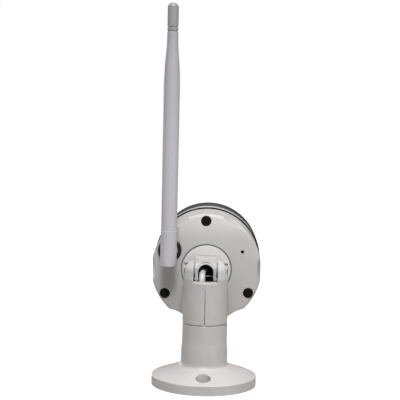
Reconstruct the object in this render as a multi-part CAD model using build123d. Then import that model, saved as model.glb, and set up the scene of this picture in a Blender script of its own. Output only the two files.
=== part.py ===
from build123d import *
import math
import os

# A Wi-Fi bullet security camera on a round-flange bracket, in millimetres.
# Origin: centre of the flange's underside. +Z up the bracket, +Y the way the lens looks, +X to the
# right of somebody who stands behind the camera.

# Bracket base
FLANGE_R = 38.0
RIM_Z = 6.9
RIM_FILLET = 0.6
CONE_SLOPE = math.tan(math.radians(19))
COLUMN_FOOT_R = 16.9
COLUMN_STEP_R = 16.7
COLUMN_R = 16.27
COLUMN_STEP_Z = (25.5, 31.5)
BASE_TOP_Z = 44.5
ROOT_FILLET = 3.8
SCREW_CIRCLE_R = 28.4
SCREW_ANGLES = (-90, 30, 150)
SCREW_HOLE_R = 2.3
COUNTERBORE_R = 5.3
COUNTERBORE_Z = 3.8
GASKET_R = (31.3, 36.0)
GASKET_DEPTH = 0.9
CABLE_ROOM_R = 13.9
SHOULDER_Z = 24.9
SPIGOT_R = 10.0
SPIGOT_FIT = 0.05
FRICTION_POCKET = (14.8, 42.9)
LOCK_SCREW_R = 2.0
LOCK_SCREW_Z = 34.9

# Fork arm
ARM_BOTTOM_Z = 44.8
ARM_FOOT_R = 16.4
ARM_R = 16.2
ARM_DOME_H = 8.6
SPIGOT_BOTTOM_Z = 19.4
ARM_BORE_R = 5.2
ARM_ROOM_Z = 55.0
ARM_ROOM_HALF = (6.2, 7.5)
PIVOT_Z = 82.9
SLOT_HALF = 8.8
SLOT_FLOOR_Z = 75.4
SLOT_FAR_DROP = 2.6
SLOT_POCKET_R = 10.0
CLIP_GROOVE_Z = (22.2, 23.4)
CLIP_GROOVE_R = 9.0
LOCK_GROOVE_DEPTH = 0.6
SLIT_Z = (70.5, 43.8)
SLIT_HALF = (0.15, 0.42)
SLIT_FLOOR_Y = -13.2
EAR_RECESS_FIT = 0.4

# Pivot screws
PIVOT_SHANK_R = 2.5
PIVOT_FIT = 0.06
PIVOT_THREAD_R = 2.0
PIVOT_HEAD_R = 5.0
PIVOT_HEAD_X = (12.6, 15.8)
WASHER_R = 5.5
WASHER_X = (7.5, 9.3)

# Knuckle and its disc
KNUCKLE_HALF = 7.5
EYE_R = 6.4
TONGUE_DROP = 7.2
TONGUE_CORNER_R = 0.3
NECK_BLEND_R = 2.4
DISC_R = 18.3
DISC_BACK_Y = 23.5
DISC_BLEND_Y = 18.6
HUB_R = 12.0
HUB_FIT = 0.06
HUB_END_Y = 28.3
HUB_BORE_R = 4.2
WINDOW_HALF = 5.5
WINDOW_ARCH_Z = 81.9
WINDOW_DEPTH_Y = 9.0
RIM_HALF = 7.0
RIM_DEPTH = 0.5
RETAINER_R = 16.0
RETAINER_T = 3.0
RETAINER_SCREW_CIRCLE = 9.4
RETAINER_THREAD_R = 1.1
SEAL_R = (14.0, 16.0)
SEAL_GROOVE_Y = 22.4
WINDOW_DROP = 12.0

# Head: its axis runs along +Y at this height, and its parts are drawn about that axis
HEAD_Z = 80.4
CAP_R = 41.2
SEAM_R = 41.2
CAP_POLE_Y = 18.5
CAP_EDGE = (38.7, 23.4)
CAP_CORNER_Y = 26.4
SEAM_Y = 77.8
GASKET_T = 1.2
GASKET_RIM_R = 42.3
INNER_WALL_Y = 28.0
CAVITY_R = (37.4, 38.3)
DISC_GAP = 0.55
SCALLOP_R = 21.4
SCALLOP_DEPTH = 2.7
SCALLOP_TILT = 11.0
SCALLOP_START_Y = 24.0
HEAD_TURN = 1.3
BOSS_ANGLES = tuple(angle + HEAD_TURN for angle in (90, 210, 330))
BOSS_CIRCLE_R = 35.9
BOSS_R = 4.9
PLUG_R = 3.85
PLUG_Y = (22.6, 27.5)
PLUG_FIT = 0.08
HOUSING_SCREW_Y = (63.0, 66.0, 88.0)
HOUSING_SCREW_R = 1.5
HOUSING_HEAD_R = 2.75
SCREW_FIT = 0.1
MIC_AT = (26.6, 13.6)
MIC_HOLE_R = 1.2

# Front of the head
BAND_R = 42.2
BAND_Y = (SEAM_Y + GASKET_T, 95.0)
BAND_BORE_R = 36.5
BAND_BOSS_END_Y = 90.0
NECK_R = 40.0
NECK_END_Y = 106.0
HOOD_R = 42.7
HOOD_Y = (95.3, 133.5)
HOOD_GROOVE_Y = (111.4, 112.4)
HOOD_GROOVE_R = 42.1
LEDGE_T = 3.0
GLASS_R = 38.8
GLASS_Y = (116.0, 119.0)
GLASS_SEAT_R = 34.0

# Electronics
FRAME_Y = (90.0, 92.0)
IR_BOARD_Y = (104.0, 105.6)
IR_POST_CIRCLE = 33.0
IR_SCREW_R = 1.0
BAFFLE_R = (11.2, 13.0)
LED_COUNT = 18
LED_CIRCLE = 24.5
LED_R = 2.5
SENSOR_BOARD_Y = (78.4, 80.0)
SENSOR_POST = 15.5
SENSOR_SCREW_R = 0.9
HOLDER_Y = (80.0, 90.0)
FILTER_Y = (82.15, 83.45)
FILTER_TRAVEL = 6.5
LENS_R = 9.5
LENS_THREAD_R = 6.0
LENS_GLASS_R = 6.9
MAIN_BOARD_Z = (-8.6, -7.0)
MAIN_BOARD_EDGES = (27.0, 36.0, 74.0)
HEAT_SINK = (8.0, 52.0, 68.0)
FIN_COUNT = 6
FIN_PITCH = 2.96
WIFI_H = 2.4
WIFI_MODULE = (-25.0, -12.0, 47.0, 63.0)
CARD_SOCKET = (11.0, 25.0, 47.0, 62.0)
LEAD_SOCKET = (-6.0, 6.0, 44.0, 50.0)
BRACKET_T = 2.0
BRACKET_Z = (-19.0, -17.0)
BRACKET_HALF = 24.0
BRACKET_END_Y = 72.0
BRACKET_SCREW_X = (-8.0, 8.0)
BRACKET_SCREW_Z = -27.0
BRACKET_THREAD_R = 1.2
STANDOFF_THREAD_R = 1.2
STANDOFF_X = 20.0
STANDOFF_Y = (42.0, 68.0)

# Antenna: its hinge lies behind its jack, and both are placed from the head's axis
JACK_X = -27.6
JACK_Z = 13.8
JACK_R = 3.2
JACK_Y = (18.4, 32.0)
JACK_FIT = 0.06
JACK_FACE_Y = 21.5
RING_R = (6.3, 8.6)
COLLAR_R = 6.0
COLLAR_Y = (16.8, 21.2)
HINGE_Y = 6.0
TONGUE_HALF = 2.3
TONGUE_R = 2.6
PIN_R = 1.2
PIN_FIT = 0.06
ANTENNA_BASE_R = 6.0
ANTENNA_SWING_R = 10.4
ANTENNA_BASE_Z = (-9.6, 16.0)
WHIP_R = 5.9
TIP_R = 4.03
WHIP_Z = (16.05, 159.4)
TIP_END_Z = 180.4
TIP_DOME_H = 3.0

# Lead from the head to the bracket's foot
LEAD_R = 2.35
LEAD_ROUTE = (
    (-1.0, 0.0, 17.9),
    (-1.4, -0.9, 33.9),
    (-2.2, -1.3, 53.9),
    (-2.7, -4.0, 66.9),
    (-2.7, -4.0, 77.2),
    (-2.5, 0.7, 81.9),
    (-1.5, 9.0, 81.1),
    (-0.3, 15.0, 80.4),
    (0.0, 27.5, 80.4),
)
LEAD_END_Y = 31.6
LEAD_PLUG_Z = (4.9, 13.9)


# ---------------------------------------------------------------- helpers

def spun(edges):
    """Solid of revolution about Y, from edges drawn as (radius, position along Y)."""
    return revolve(make_face(edges), Axis.Y)


def spun_points(points):
    """Solid of revolution about Y, from the corners of its outline."""
    return spun(Polyline(*points, close=True))


def upright(solid):
    """Turns a solid made about Y so that it stands along Z."""
    return Rot(90, 0, 0) * solid


def rod_x(radius, start, end, y=0.0, z=0.0):
    return Pos((start + end) / 2, y, z) * Rot(0, 90, 0) * Cylinder(radius, end - start)


def rod_y(radius, start, end, x=0.0, z=0.0):
    return Pos(x, (start + end) / 2, z) * Rot(90, 0, 0) * Cylinder(radius, end - start)


def rod_z(radius, start, end, x=0.0, y=0.0):
    return Pos(x, y, (start + end) / 2) * Cylinder(radius, end - start)


def ring_x(outer, inner, start, end, y=0.0, z=0.0):
    return rod_x(outer, start, end, y, z) - rod_x(inner, start - 1, end + 1, y, z)


def ring_y(outer, inner, start, end, x=0.0, z=0.0):
    return rod_y(outer, start, end, x, z) - rod_y(inner, start - 1, end + 1, x, z)


def ring_z(outer, inner, start, end):
    return rod_z(outer, start, end) - rod_z(inner, start - 1, end + 1)


def block(x0, x1, y0, y1, z0, z1):
    return Pos((x0 + x1) / 2, (y0 + y1) / 2, (z0 + z1) / 2) * Box(x1 - x0, y1 - y0, z1 - z0)


def polar(radius, degrees):
    """A point on a circle, as the pair of coordinates across its axis."""
    angle = math.radians(degrees)
    return radius * math.cos(angle), radius * math.sin(angle)


def hex_y(half_flats, start, end, x=0.0, z=0.0):
    """Hexagonal prism along Y."""
    outline = Plane.XZ * RegularPolygon(half_flats, 6, major_radius=False)
    return Pos(x, end, z) * extrude(outline, end - start)


def hex_x(half_flats, start, end, z=0.0):
    """Hexagonal prism along X."""
    outline = Plane.YZ * RegularPolygon(half_flats, 6, major_radius=False)
    return Pos(start, 0, z) * extrude(outline, end - start)


def group(solids):
    """Several separate solids kept as one node."""
    return Compound(children=[s.solid() for s in solids])


def screw_y(head_r, head, shank_r, tip, x, z, socket):
    """Pan-head screw along Y. head is its (start, end), and the shank runs on to tip."""
    body = rod_y(head_r, head[0], head[1], x, z) + rod_y(shank_r, head[1], tip, x, z)
    depth = (head[1] - head[0]) * 0.6
    return body - hex_y(socket, head[0] - 1, head[0] + depth, x, z)


def bend_radii(points):
    """The radius of each bend in a route: as large as the runs beside it allow."""
    radii = []
    for before, here, after in zip(points, points[1:], points[2:]):
        run_in = Vector(*here) - Vector(*before)
        run_out = Vector(*after) - Vector(*here)
        half_turn = math.radians(run_in.get_angle(run_out)) / 2
        radii.append(0.45 * min(run_in.length, run_out.length) / math.tan(half_turn))
    return radii


def tube(name, points, radius):
    """Cord along straight runs joined by tangent arcs. Prints its radii, length and volume check."""
    radii = bend_radii(points)
    path = FilletPolyline(*points, radius=radii)
    start = Plane(origin=path @ 0, z_dir=path % 0)
    cord = sweep(start * Circle(radius), path=path)
    share = cord.volume / (math.pi * radius**2 * path.length)
    print(name, "length", round(path.length, 1), "radii", [round(r, 1) for r in radii], round(share, 4))
    return cord


# ---------------------------------------------------------------- bracket base

def base_flange():
    cone_top_z = RIM_Z + (FLANGE_R - COLUMN_FOOT_R) * CONE_SLOPE
    body = upright(spun_points([
        (0, 0),
        (FLANGE_R, 0),
        (FLANGE_R, RIM_Z),
        (COLUMN_FOOT_R, cone_top_z),
        (COLUMN_STEP_R, COLUMN_STEP_Z[0]),
        (COLUMN_R, COLUMN_STEP_Z[1]),
        (COLUMN_R, BASE_TOP_Z - 0.7),
        (COLUMN_R - 0.7, BASE_TOP_Z),
        (0, BASE_TOP_Z),
    ]))
    root = body.edges().filter_by_position(Axis.Z, cone_top_z - 0.05, cone_top_z + 0.05)
    body = fillet(root.filter_by(GeomType.CIRCLE), ROOT_FILLET)
    rim = body.edges().filter_by_position(Axis.Z, RIM_Z - 0.05, RIM_Z + 0.05)
    body = fillet(rim.filter_by(GeomType.CIRCLE), RIM_FILLET)
    body -= rod_z(CABLE_ROOM_R, -1, SHOULDER_Z)
    body -= rod_z(SPIGOT_R + SPIGOT_FIT, SHOULDER_Z - 1, BASE_TOP_Z + 1)
    body -= rod_z(FRICTION_POCKET[0], FRICTION_POCKET[1], BASE_TOP_Z + 1)
    body -= ring_z(GASKET_R[1], GASKET_R[0], -1, GASKET_DEPTH)
    for angle in SCREW_ANGLES:
        x, y = polar(SCREW_CIRCLE_R, angle)
        body -= rod_z(SCREW_HOLE_R, -1, COUNTERBORE_Z + 1, x, y)
        body -= rod_z(COUNTERBORE_R, COUNTERBORE_Z, cone_top_z + 4, x, y)
    body -= rod_y(LOCK_SCREW_R, SPIGOT_R - 1, COLUMN_FOOT_R + 2, z=LOCK_SCREW_Z)
    return body


def flange_gasket():
    return ring_z(GASKET_R[1], GASKET_R[0], 0, GASKET_DEPTH)


def pan_friction_ring():
    return ring_z(FRICTION_POCKET[0], SPIGOT_R + 0.5, FRICTION_POCKET[1], ARM_BOTTOM_Z - 0.05)


def lock_screw():
    tip_y = SPIGOT_R + 0.3
    screw = rod_y(LOCK_SCREW_R, tip_y, COLUMN_R - 0.4, z=LOCK_SCREW_Z)
    return screw - hex_y(1.0, COLUMN_R - 2.6, COLUMN_R + 1, z=LOCK_SCREW_Z)


# ---------------------------------------------------------------- fork arm

def arm_blank():
    """The turned outside of the arm: spigot, tapered column and domed top."""
    dome = EllipticalCenterArc((0, PIVOT_Z), ARM_R, ARM_DOME_H, start_angle=0, arc_size=90)
    side = Polyline(
        (0, PIVOT_Z + ARM_DOME_H),
        (0, SPIGOT_BOTTOM_Z),
        (SPIGOT_R - 0.6, SPIGOT_BOTTOM_Z),
        (SPIGOT_R, SPIGOT_BOTTOM_Z + 0.6),
        (SPIGOT_R, ARM_BOTTOM_Z),
        (ARM_FOOT_R - 0.5, ARM_BOTTOM_Z),
        (ARM_FOOT_R, ARM_BOTTOM_Z + 0.6),
        (ARM_R, PIVOT_Z),
    )
    return upright(spun([*side.edges(), *dome.edges()]))


def fork_slot():
    """The gap between the ears. Its floor falls away in front, where the neck dips."""
    gap = block(-SLOT_HALF, SLOT_HALF, -20, 20, SLOT_FLOOR_Z, PIVOT_Z + 12)
    fall = Polyline(
        (-2, SLOT_FLOOR_Z + 1),
        (-2, SLOT_FLOOR_Z),
        (20, SLOT_FLOOR_Z - SLOT_FAR_DROP),
        (20, SLOT_FLOOR_Z + 1),
        close=True,
    )
    ramp = extrude(Plane.YZ * make_face(fall), SLOT_HALF, both=True)
    return gap + ramp


def fork_arm():
    arm = arm_blank() - fork_slot()
    lip = arm.edges().filter_by_position(Axis.Z, SLOT_FLOOR_Z - 0.05, SLOT_FLOOR_Z + 0.05)
    near_lip = lip.filter_by(lambda edge: edge.center().Y < -ARM_R + 4)
    near_lip = near_lip.filter_by(lambda edge: abs(edge.center().X) < 1)
    arm = chamfer(near_lip, 0.6)
    arm -= rod_x(SLOT_POCKET_R, -SLOT_HALF, SLOT_HALF, z=PIVOT_Z)
    arm -= rod_z(ARM_BORE_R, SPIGOT_BOTTOM_Z - 1, ARM_ROOM_Z + 1)
    half_x, half_y = ARM_ROOM_HALF
    arm -= block(-half_x, half_x, -half_y, half_y, ARM_ROOM_Z, SLOT_FLOOR_Z + 1)
    top, bottom = SLIT_Z
    narrow, wide = SLIT_HALF
    slit = Polyline((-narrow, top), (narrow, top), (wide, bottom), (-wide, bottom), close=True)
    arm -= Pos(0, SLIT_FLOOR_Y, 0) * extrude(Plane.XZ * make_face(slit), 5)
    arm -= rod_x(PIVOT_SHANK_R + PIVOT_FIT, -20, 20, z=PIVOT_Z)
    for side in (-1, 1):
        inner, outer = sorted((side * (SLOT_HALF - 0.1), side * (WASHER_X[1] + 0.15)))
        arm -= rod_x(WASHER_R + EAR_RECESS_FIT, inner, outer, z=PIVOT_Z)
        inner, outer = sorted((side * (PIVOT_HEAD_X[0] - 0.1), side * 20))
        arm -= rod_x(PIVOT_HEAD_R + EAR_RECESS_FIT, inner, outer, z=PIVOT_Z)
    arm -= ring_z(SPIGOT_R + 1, CLIP_GROOVE_R, CLIP_GROOVE_Z[0], CLIP_GROOVE_Z[1])
    lock_r = SPIGOT_R - LOCK_GROOVE_DEPTH
    arm -= ring_z(SPIGOT_R + 1, lock_r, LOCK_SCREW_Z - 2.5, LOCK_SCREW_Z + 2.5)
    return arm


def pan_circlip():
    clip = ring_z(SPIGOT_R + 1.6, CLIP_GROOVE_R, CLIP_GROOVE_Z[0], CLIP_GROOVE_Z[1])
    return clip - block(-4, 4, 0, 20, CLIP_GROOVE_Z[0] - 1, CLIP_GROOVE_Z[1] + 1)


def pan_washer():
    return ring_z(CABLE_ROOM_R - 0.4, SPIGOT_R + 0.3, CLIP_GROOVE_Z[1] + 0.1, SHOULDER_Z - 0.1)


# ---------------------------------------------------------------- knuckle

def swivel_disc():
    """The domed disc that closes the middle of the rear housing, drawn about the head's axis."""
    dome = ThreePointArc((0, 17.8), (10, 18.25), (17.4, 19.5))
    rest = Polyline((17.4, 19.5), (DISC_R, 20.5), (DISC_R, DISC_BACK_Y), (0, DISC_BACK_Y), (0, 17.8))
    return spun([dome.edge(), *rest.edges()])


def window(half, start, end):
    """Arched opening along Y, open downwards."""
    arch = rod_y(half, start, end, z=WINDOW_ARCH_Z)
    return arch + block(-half, half, start, end, PIVOT_Z - WINDOW_DROP, WINDOW_ARCH_Z)


def eye(radius):
    """The round end about the pivot, with its lower back corner left nearly square."""
    corner = block(-KNUCKLE_HALF, KNUCKLE_HALF, -radius, 0, PIVOT_Z - TONGUE_DROP, PIVOT_Z)
    edge = corner.edges().filter_by(Axis.X).group_by(Axis.Z)[0].sort_by(Axis.Y)[0]
    return rod_x(radius, -KNUCKLE_HALF, KNUCKLE_HALF, z=PIVOT_Z) + fillet(edge, TONGUE_CORNER_R)


def neck():
    """Bar from the eye to the disc. Its top sweeps up into the disc's dome."""
    top = PIVOT_Z + EYE_R
    blend_y = DISC_BLEND_Y - NECK_BLEND_R
    slant = NECK_BLEND_R * math.sqrt(0.5)
    sweep_up = ThreePointArc(
        (blend_y, top),
        (blend_y + slant, top + NECK_BLEND_R - slant),
        (DISC_BLEND_Y, top + NECK_BLEND_R),
    )
    rest = Polyline(
        (DISC_BLEND_Y, top + NECK_BLEND_R),
        (DISC_BACK_Y, top + NECK_BLEND_R),
        (DISC_BACK_Y, PIVOT_Z - TONGUE_DROP),
        (0, PIVOT_Z - TONGUE_DROP),
        (0, top),
        (blend_y, top),
    )
    outline = Plane.YZ * make_face([sweep_up.edge(), *rest.edges()])
    return extrude(outline, KNUCKLE_HALF, both=True)


def swivel_knuckle():
    body = eye(EYE_R) + neck()
    body += Pos(0, 0, HEAD_Z) * swivel_disc()
    body += rod_y(HUB_R, DISC_BACK_Y - 1, HUB_END_Y, z=HEAD_Z)
    body -= window(WINDOW_HALF, -12, WINDOW_DEPTH_Y)
    body -= window(RIM_HALF, -12, 0) & (eye(EYE_R + 2) - eye(EYE_R - RIM_DEPTH))
    body -= rod_y(HUB_BORE_R, 4, HUB_END_Y + 1, z=HEAD_Z)
    body -= rod_x(PIVOT_THREAD_R, -20, 20, z=PIVOT_Z)
    body -= Pos(0, 0, HEAD_Z) * ring_y(SEAL_R[1], SEAL_R[0], SEAL_GROOVE_Y, DISC_BACK_Y + 1)
    for angle in BOSS_ANGLES:
        x, z = polar(RETAINER_SCREW_CIRCLE, angle)
        body -= rod_y(RETAINER_THREAD_R, 24.0, HUB_END_Y + 1, x, HEAD_Z + z)
    return body


def pivot_washers():
    right = ring_x(WASHER_R, PIVOT_SHANK_R + 0.1, WASHER_X[0], WASHER_X[1], z=PIVOT_Z)
    return group([right, mirror(right, Plane.YZ)])


def pivot_screws():
    right = rod_x(PIVOT_SHANK_R, WASHER_X[0], PIVOT_HEAD_X[0], z=PIVOT_Z)
    right += rod_x(PIVOT_THREAD_R, WINDOW_HALF + 0.2, WASHER_X[0], z=PIVOT_Z)
    right += rod_x(PIVOT_HEAD_R, PIVOT_HEAD_X[0], PIVOT_HEAD_X[1], z=PIVOT_Z)
    right -= hex_x(1.75, PIVOT_HEAD_X[1] - 1.7, PIVOT_HEAD_X[1] + 1, z=PIVOT_Z)
    return group([right, mirror(right, Plane.YZ)])


def roll_seal():
    return Pos(0, 0, HEAD_Z) * ring_y(SEAL_R[1], SEAL_R[0], SEAL_GROOVE_Y, DISC_BACK_Y + 0.2)


def roll_retainer():
    ring = ring_y(RETAINER_R, HUB_BORE_R, HUB_END_Y, HUB_END_Y + RETAINER_T)
    for angle in BOSS_ANGLES:
        x, z = polar(RETAINER_SCREW_CIRCLE, angle)
        ring -= rod_y(RETAINER_THREAD_R, HUB_END_Y - 1, HUB_END_Y + 5, x, z)
    return Pos(0, 0, HEAD_Z) * ring


def retainer_screws():
    screws = []
    face = HUB_END_Y + RETAINER_T
    for angle in BOSS_ANGLES:
        x, z = polar(RETAINER_SCREW_CIRCLE, angle)
        screw = rod_y(2.1, face, face + 1.4, x, z) + rod_y(RETAINER_THREAD_R, 24.3, face, x, z)
        screws.append(screw - hex_y(1.0, face + 0.6, face + 3, x, z))
    return Pos(0, 0, HEAD_Z) * group(screws)


# ---------------------------------------------------------------- rear housing

def housing_blank():
    """The turned outside of the rear housing: domed back, rounded edge, side flaring to the seam."""
    back = ThreePointArc((0, CAP_POLE_Y), (20, 19.86), CAP_EDGE)
    bend = (CAP_R - 0.6, CAP_EDGE[1] + 1.1)
    corner = ThreePointArc(CAP_EDGE, bend, (CAP_R, CAP_CORNER_Y))
    rest = Polyline((CAP_R, CAP_CORNER_Y), (SEAM_R, SEAM_Y), (0, SEAM_Y), (0, CAP_POLE_Y))
    return spun([back.edge(), corner.edge(), *rest.edges()])


def scallop(angle):
    """One short shallow flute, deepest at the back edge and gone a third of the way along."""
    axis_r = CAP_R - SCALLOP_DEPTH + SCALLOP_R
    cutter = Pos(axis_r, SCALLOP_START_Y, 0) * Rot(0, 0, -SCALLOP_TILT) * rod_y(SCALLOP_R, -30, 45)
    return Rot(0, -angle, 0) * cutter


def bosses(radius, start, end):
    columns = []
    for angle in BOSS_ANGLES:
        x, z = polar(BOSS_CIRCLE_R, angle)
        columns.append(rod_y(radius, start, end, x, z))
    return columns


def rear_housing():
    shell = housing_blank()
    for angle in range(0, 360, 60):
        shell -= scallop(angle + HEAD_TURN)
    cavity = spun_points([
        (0, INNER_WALL_Y),
        (CAVITY_R[0], INNER_WALL_Y),
        (CAVITY_R[1], SEAM_Y + 1),
        (0, SEAM_Y + 1),
    ])
    for column in bosses(BOSS_R, INNER_WALL_Y - 1, SEAM_Y + 2):
        cavity -= column
    shell -= cavity
    shell -= rod_y(DISC_R + DISC_GAP, 0, DISC_BACK_Y + 0.3)
    shell -= rod_y(HUB_R + HUB_FIT, 0, INNER_WALL_Y + 1)
    shell -= rod_y(RING_R[1] + 0.5, 0, JACK_FACE_Y, JACK_X, JACK_Z)
    shell += rod_y(RING_R[1] + 0.5, JACK_FACE_Y, INNER_WALL_Y, JACK_X, JACK_Z)
    shell -= rod_y(JACK_R, 0, INNER_WALL_Y + 1, JACK_X, JACK_Z)
    shell -= rod_y(MIC_HOLE_R, 0, INNER_WALL_Y + 1, *MIC_AT)
    for hole in bosses(PLUG_R, 0, HOUSING_SCREW_Y[1]):
        shell -= hole
    for hole in bosses(HOUSING_SCREW_R + SCREW_FIT, HOUSING_SCREW_Y[1] - 1, SEAM_Y + 1):
        shell -= hole
    for x in BRACKET_SCREW_X:
        shell -= rod_y(BRACKET_THREAD_R, 24.6, INNER_WALL_Y + 1, x, BRACKET_SCREW_Z)
    return shell


def housing_plugs():
    plugs = []
    for plug in bosses(PLUG_R - PLUG_FIT, PLUG_Y[0], PLUG_Y[1]):
        rim = plug.edges().group_by(Axis.Y)[0]
        plugs.append(fillet(rim, 0.8))
    return group(plugs)


def housing_screws():
    screws = []
    head_y, seat_y, tip_y = HOUSING_SCREW_Y
    for angle in BOSS_ANGLES:
        x, z = polar(BOSS_CIRCLE_R, angle)
        head = (head_y, seat_y - 0.02)
        screws.append(screw_y(HOUSING_HEAD_R, head, HOUSING_SCREW_R, tip_y, x, z, 1.2))
    return group(screws)


def seam_gasket():
    ring = ring_y(GASKET_RIM_R, CAVITY_R[1], SEAM_Y, BAND_Y[0])
    for pad in bosses(BOSS_R - 0.2, SEAM_Y, BAND_Y[0]):
        ring += pad
    for hole in bosses(HOUSING_SCREW_R + SCREW_FIT, SEAM_Y - 1, BAND_Y[0] + 1):
        ring -= hole
    return ring


# ---------------------------------------------------------------- front housing

def front_band():
    outside = spun_points([
        (0, BAND_Y[0]),
        (SEAM_R, BAND_Y[0]),
        (BAND_R, BAND_Y[0] + 0.9),
        (BAND_R, BAND_Y[1] - 0.5),
        (BAND_R - 0.5, BAND_Y[1]),
        (NECK_R, BAND_Y[1]),
        (NECK_R, NECK_END_Y - 0.6),
        (NECK_R - 0.6, NECK_END_Y),
        (0, NECK_END_Y),
    ])
    cavity = rod_y(BAND_BORE_R, BAND_Y[0] - 1, NECK_END_Y + 1)
    for column in bosses(BOSS_R, BAND_Y[0] - 2, BAND_BOSS_END_Y):
        cavity -= column
    band = outside - cavity
    for hole in bosses(HOUSING_SCREW_R + 0.02, BAND_Y[0] - 1, HOUSING_SCREW_Y[2] + 0.5):
        band -= hole
    return band


def front_hood():
    """Ring screwed on the front housing's neck, with the ledge that the glass seals on."""
    inside_r = NECK_R + 0.1
    ledge_end = GLASS_Y[0] - 1
    return spun_points([
        (inside_r, HOOD_Y[0]),
        (HOOD_R - 0.8, HOOD_Y[0]),
        (HOOD_R, HOOD_Y[0] + 0.8),
        (HOOD_R, HOOD_GROOVE_Y[0]),
        (HOOD_GROOVE_R, HOOD_GROOVE_Y[0] + 0.3),
        (HOOD_GROOVE_R, HOOD_GROOVE_Y[1]),
        (GLASS_R + 0.3, HOOD_GROOVE_Y[1]),
        (GLASS_R + 0.3, ledge_end),
        (GLASS_SEAT_R, ledge_end),
        (GLASS_SEAT_R, ledge_end - LEDGE_T),
        (inside_r, ledge_end - LEDGE_T),
    ])


def front_bezel():
    """Outer ring ahead of the groove, flared inside so that it does not shade the view."""
    return spun_points([
        (GLASS_R + 0.4, HOOD_GROOVE_Y[1] + 0.1),
        (HOOD_GROOVE_R, HOOD_GROOVE_Y[1] + 0.1),
        (HOOD_R, HOOD_GROOVE_Y[1] + 0.4),
        (HOOD_R, HOOD_Y[1] - 1.2),
        (HOOD_R - 0.9, HOOD_Y[1]),
        (HOOD_R - 1.6, HOOD_Y[1]),
        (GLASS_R + 0.4, GLASS_Y[1] + 4),
    ])


def glass_gasket():
    return ring_y(GLASS_R - 0.2, GLASS_SEAT_R + 0.5, GLASS_Y[0] - 1, GLASS_Y[0])


def front_glass():
    disc = rod_y(GLASS_R, GLASS_Y[0], GLASS_Y[1])
    return chamfer(disc.edges().group_by(Axis.Y)[-1], 0.4)


def glass_retainer():
    ring = ring_y(GLASS_R + 0.4, GLASS_R - 3.4, GLASS_Y[1], GLASS_Y[1] + 3)
    for angle in (0, 180):
        x, z = polar(GLASS_R - 1.5, angle)
        ring -= rod_y(1.1, GLASS_Y[1] + 1.2, GLASS_Y[1] + 4, x, z)
    return ring


# ---------------------------------------------------------------- optics and lights

def inner_frame():
    """Plate across the front housing. Posts behind it carry the sensor, posts ahead of it the lights."""
    plate = rod_y(BAND_BORE_R - 0.1, FRAME_Y[0], FRAME_Y[1])
    for x in (-SENSOR_POST, SENSOR_POST):
        for z in (-SENSOR_POST, SENSOR_POST):
            plate += rod_y(2.0, SENSOR_BOARD_Y[1], FRAME_Y[0], x, z)
            plate -= rod_y(SENSOR_SCREW_R, SENSOR_BOARD_Y[1] - 1, 86, x, z)
    for angle in BOSS_ANGLES:
        x, z = polar(IR_POST_CIRCLE, angle)
        plate += rod_y(2.2, FRAME_Y[1], IR_BOARD_Y[0], x, z)
        plate -= rod_y(IR_SCREW_R, 98, IR_BOARD_Y[0] + 1, x, z)
    return plate - rod_y(LENS_R + 3.1, FRAME_Y[0] - 1, FRAME_Y[1] + 1)


def ir_board():
    board = ring_y(BAND_BORE_R - 0.3, BAFFLE_R[1] + 0.2, IR_BOARD_Y[0], IR_BOARD_Y[1])
    for angle in BOSS_ANGLES:
        x, z = polar(IR_POST_CIRCLE, angle)
        board -= rod_y(IR_SCREW_R, IR_BOARD_Y[0] - 1, IR_BOARD_Y[1] + 1, x, z)
    return board


def ir_board_screws():
    screws = []
    face = IR_BOARD_Y[1]
    for angle in BOSS_ANGLES:
        x, z = polar(IR_POST_CIRCLE, angle)
        screw = rod_y(2.0, face, face + 1.5, x, z) + rod_y(IR_SCREW_R, 98.3, face, x, z)
        screws.append(screw - hex_y(0.9, face + 0.6, face + 3, x, z))
    return group(screws)


def ir_leds():
    leds = []
    for number in range(LED_COUNT):
        x, z = polar(LED_CIRCLE, number * 360 / LED_COUNT)
        stem = rod_y(LED_R, IR_BOARD_Y[1], IR_BOARD_Y[1] + 3.6, x, z)
        rim = rod_y(LED_R + 0.4, IR_BOARD_Y[1], IR_BOARD_Y[1] + 0.9, x, z)
        bulb = Pos(x, IR_BOARD_Y[1] + 3.6, z) * Sphere(LED_R)
        leds.append(stem + rim + bulb)
    return group(leds)


def light_baffle():
    return ring_y(BAFFLE_R[1], BAFFLE_R[0], IR_BOARD_Y[1], GLASS_Y[0])


def lens_barrel():
    return spun_points([
        (4.6, 84.8),
        (LENS_THREAD_R, 84.8),
        (LENS_THREAD_R, 95),
        (LENS_R, 97),
        (LENS_R, 111.6),
        (LENS_R - 0.5, 112),
        (8.0, 112),
        (LENS_GLASS_R, 109.6),
        (LENS_GLASS_R, 106.5),
        (4.6, 106.5),
    ])


def lens_glass():
    front = ThreePointArc((0, 111.3), (4, 110.75), (LENS_GLASS_R, 109.6))
    rest = Polyline((LENS_GLASS_R, 109.6), (LENS_GLASS_R, 106.5), (0, 106.5), (0, 111.3))
    return spun([front.edge(), *rest.edges()])


def lens_holder():
    holder = block(-12, 12, HOLDER_Y[0], HOLDER_Y[1], -10, 10)
    holder -= rod_y(LENS_THREAD_R, 84.8, HOLDER_Y[1] + 1)
    holder -= rod_y(5.0, HOLDER_Y[0] - 1, 85)
    return holder - block(-13, 13, FILTER_Y[0] - 0.15, FILTER_Y[1] + 0.15, -5.3, 5.3)


def filter_frame():
    """Slide with two windows, one ahead of the sensor by day and the other by night."""
    left = -FILTER_TRAVEL - 3.25
    frame = block(left, 3.25, FILTER_Y[0], FILTER_Y[1], -5.1, 5.1)
    for x in (0, -FILTER_TRAVEL):
        frame -= block(x - 2.6, x + 2.6, FILTER_Y[0] - 1, FILTER_Y[1] + 1, -3.6, 3.6)
    return frame


def filter_glasses():
    plates = []
    for x in (0, -FILTER_TRAVEL):
        plates.append(block(x - 2.6, x + 2.6, FILTER_Y[0] + 0.3, FILTER_Y[1] - 0.3, -3.6, 3.6))
    return group(plates)


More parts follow.
